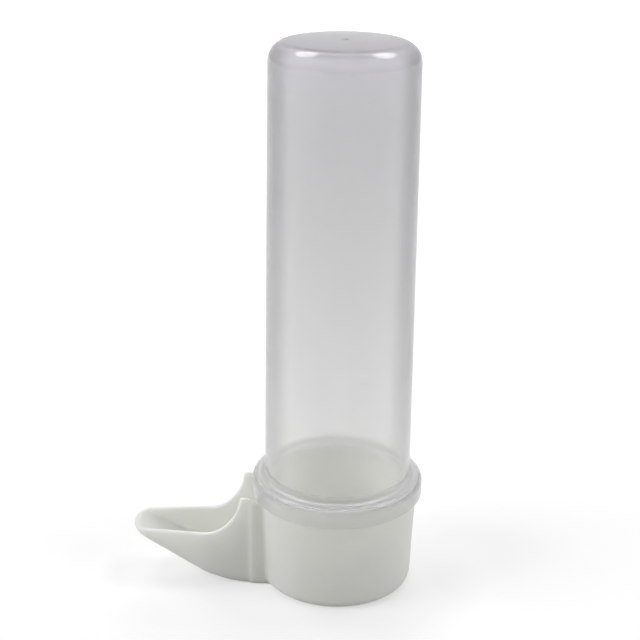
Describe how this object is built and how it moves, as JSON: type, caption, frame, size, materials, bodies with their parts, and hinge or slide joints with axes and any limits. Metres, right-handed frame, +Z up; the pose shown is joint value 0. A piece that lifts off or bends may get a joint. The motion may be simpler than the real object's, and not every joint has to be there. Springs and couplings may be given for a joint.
{
  "type": "bird water drinker",
  "caption": "Upturned clear tube with a gently domed end and a thick collar, standing on a white moulded cup whose neck opens into a boat-shaped drinking trough for cage birds.",
  "frame": {"origin": "on the tube's axis, at the flat underside of the base", "axes": "+Z up along the tube's axis; the drinking trough points along -X; +Y completes the right-handed frame, and the part is the same on both sides of the XZ plane"},
  "size_m": [0.0766, 0.0446, 0.1434],
  "materials": {
    "clear_plastic": "clear polished polystyrene with a faint cool grey tint",
    "white_plastic": "satin moulded white plastic, slightly warm and greenish"
  },
  "bodies": {
    "base": {"drinking_base": "white_plastic"},
    "tube": {"reservoir_tube": "clear_plastic"}
  },
  "joints": [
    {"name": "tube_lift", "type": "slide", "parent": "base", "child": "tube", "axis": [0, 0, 1], "range_m": [0, 0.05]}
  ]
}
